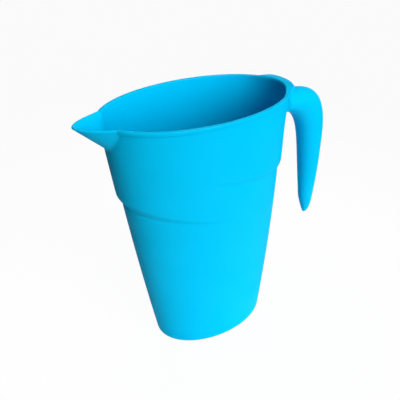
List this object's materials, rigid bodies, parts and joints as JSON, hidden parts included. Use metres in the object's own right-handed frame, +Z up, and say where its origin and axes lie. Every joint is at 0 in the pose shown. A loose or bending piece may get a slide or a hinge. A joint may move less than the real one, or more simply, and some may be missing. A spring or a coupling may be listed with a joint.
{
  "type": "jug",
  "caption": "Tall oval plastic jug with a pointed pouring spout, slanted stepped waist and a free-ended hook handle with a thumb tab.",
  "frame": {"origin": "centre of the base oval, on the surface that the jug stands on", "axes": "+Z up, +X towards the handle, -X towards the spout; the jug is symmetric about the XZ plane"},
  "size_m": [0.2241, 0.0916, 0.2304],
  "materials": {
    "plastic": "glossy moulded polypropylene, cyan blue"
  },
  "bodies": {
    "root": {"base_tray": "plastic", "body_wall": "plastic", "rim_lip": "plastic", "pouring_spout": "plastic", "handle_saddle": "plastic", "handle_grip": "plastic"}
  },
  "joints": []
}
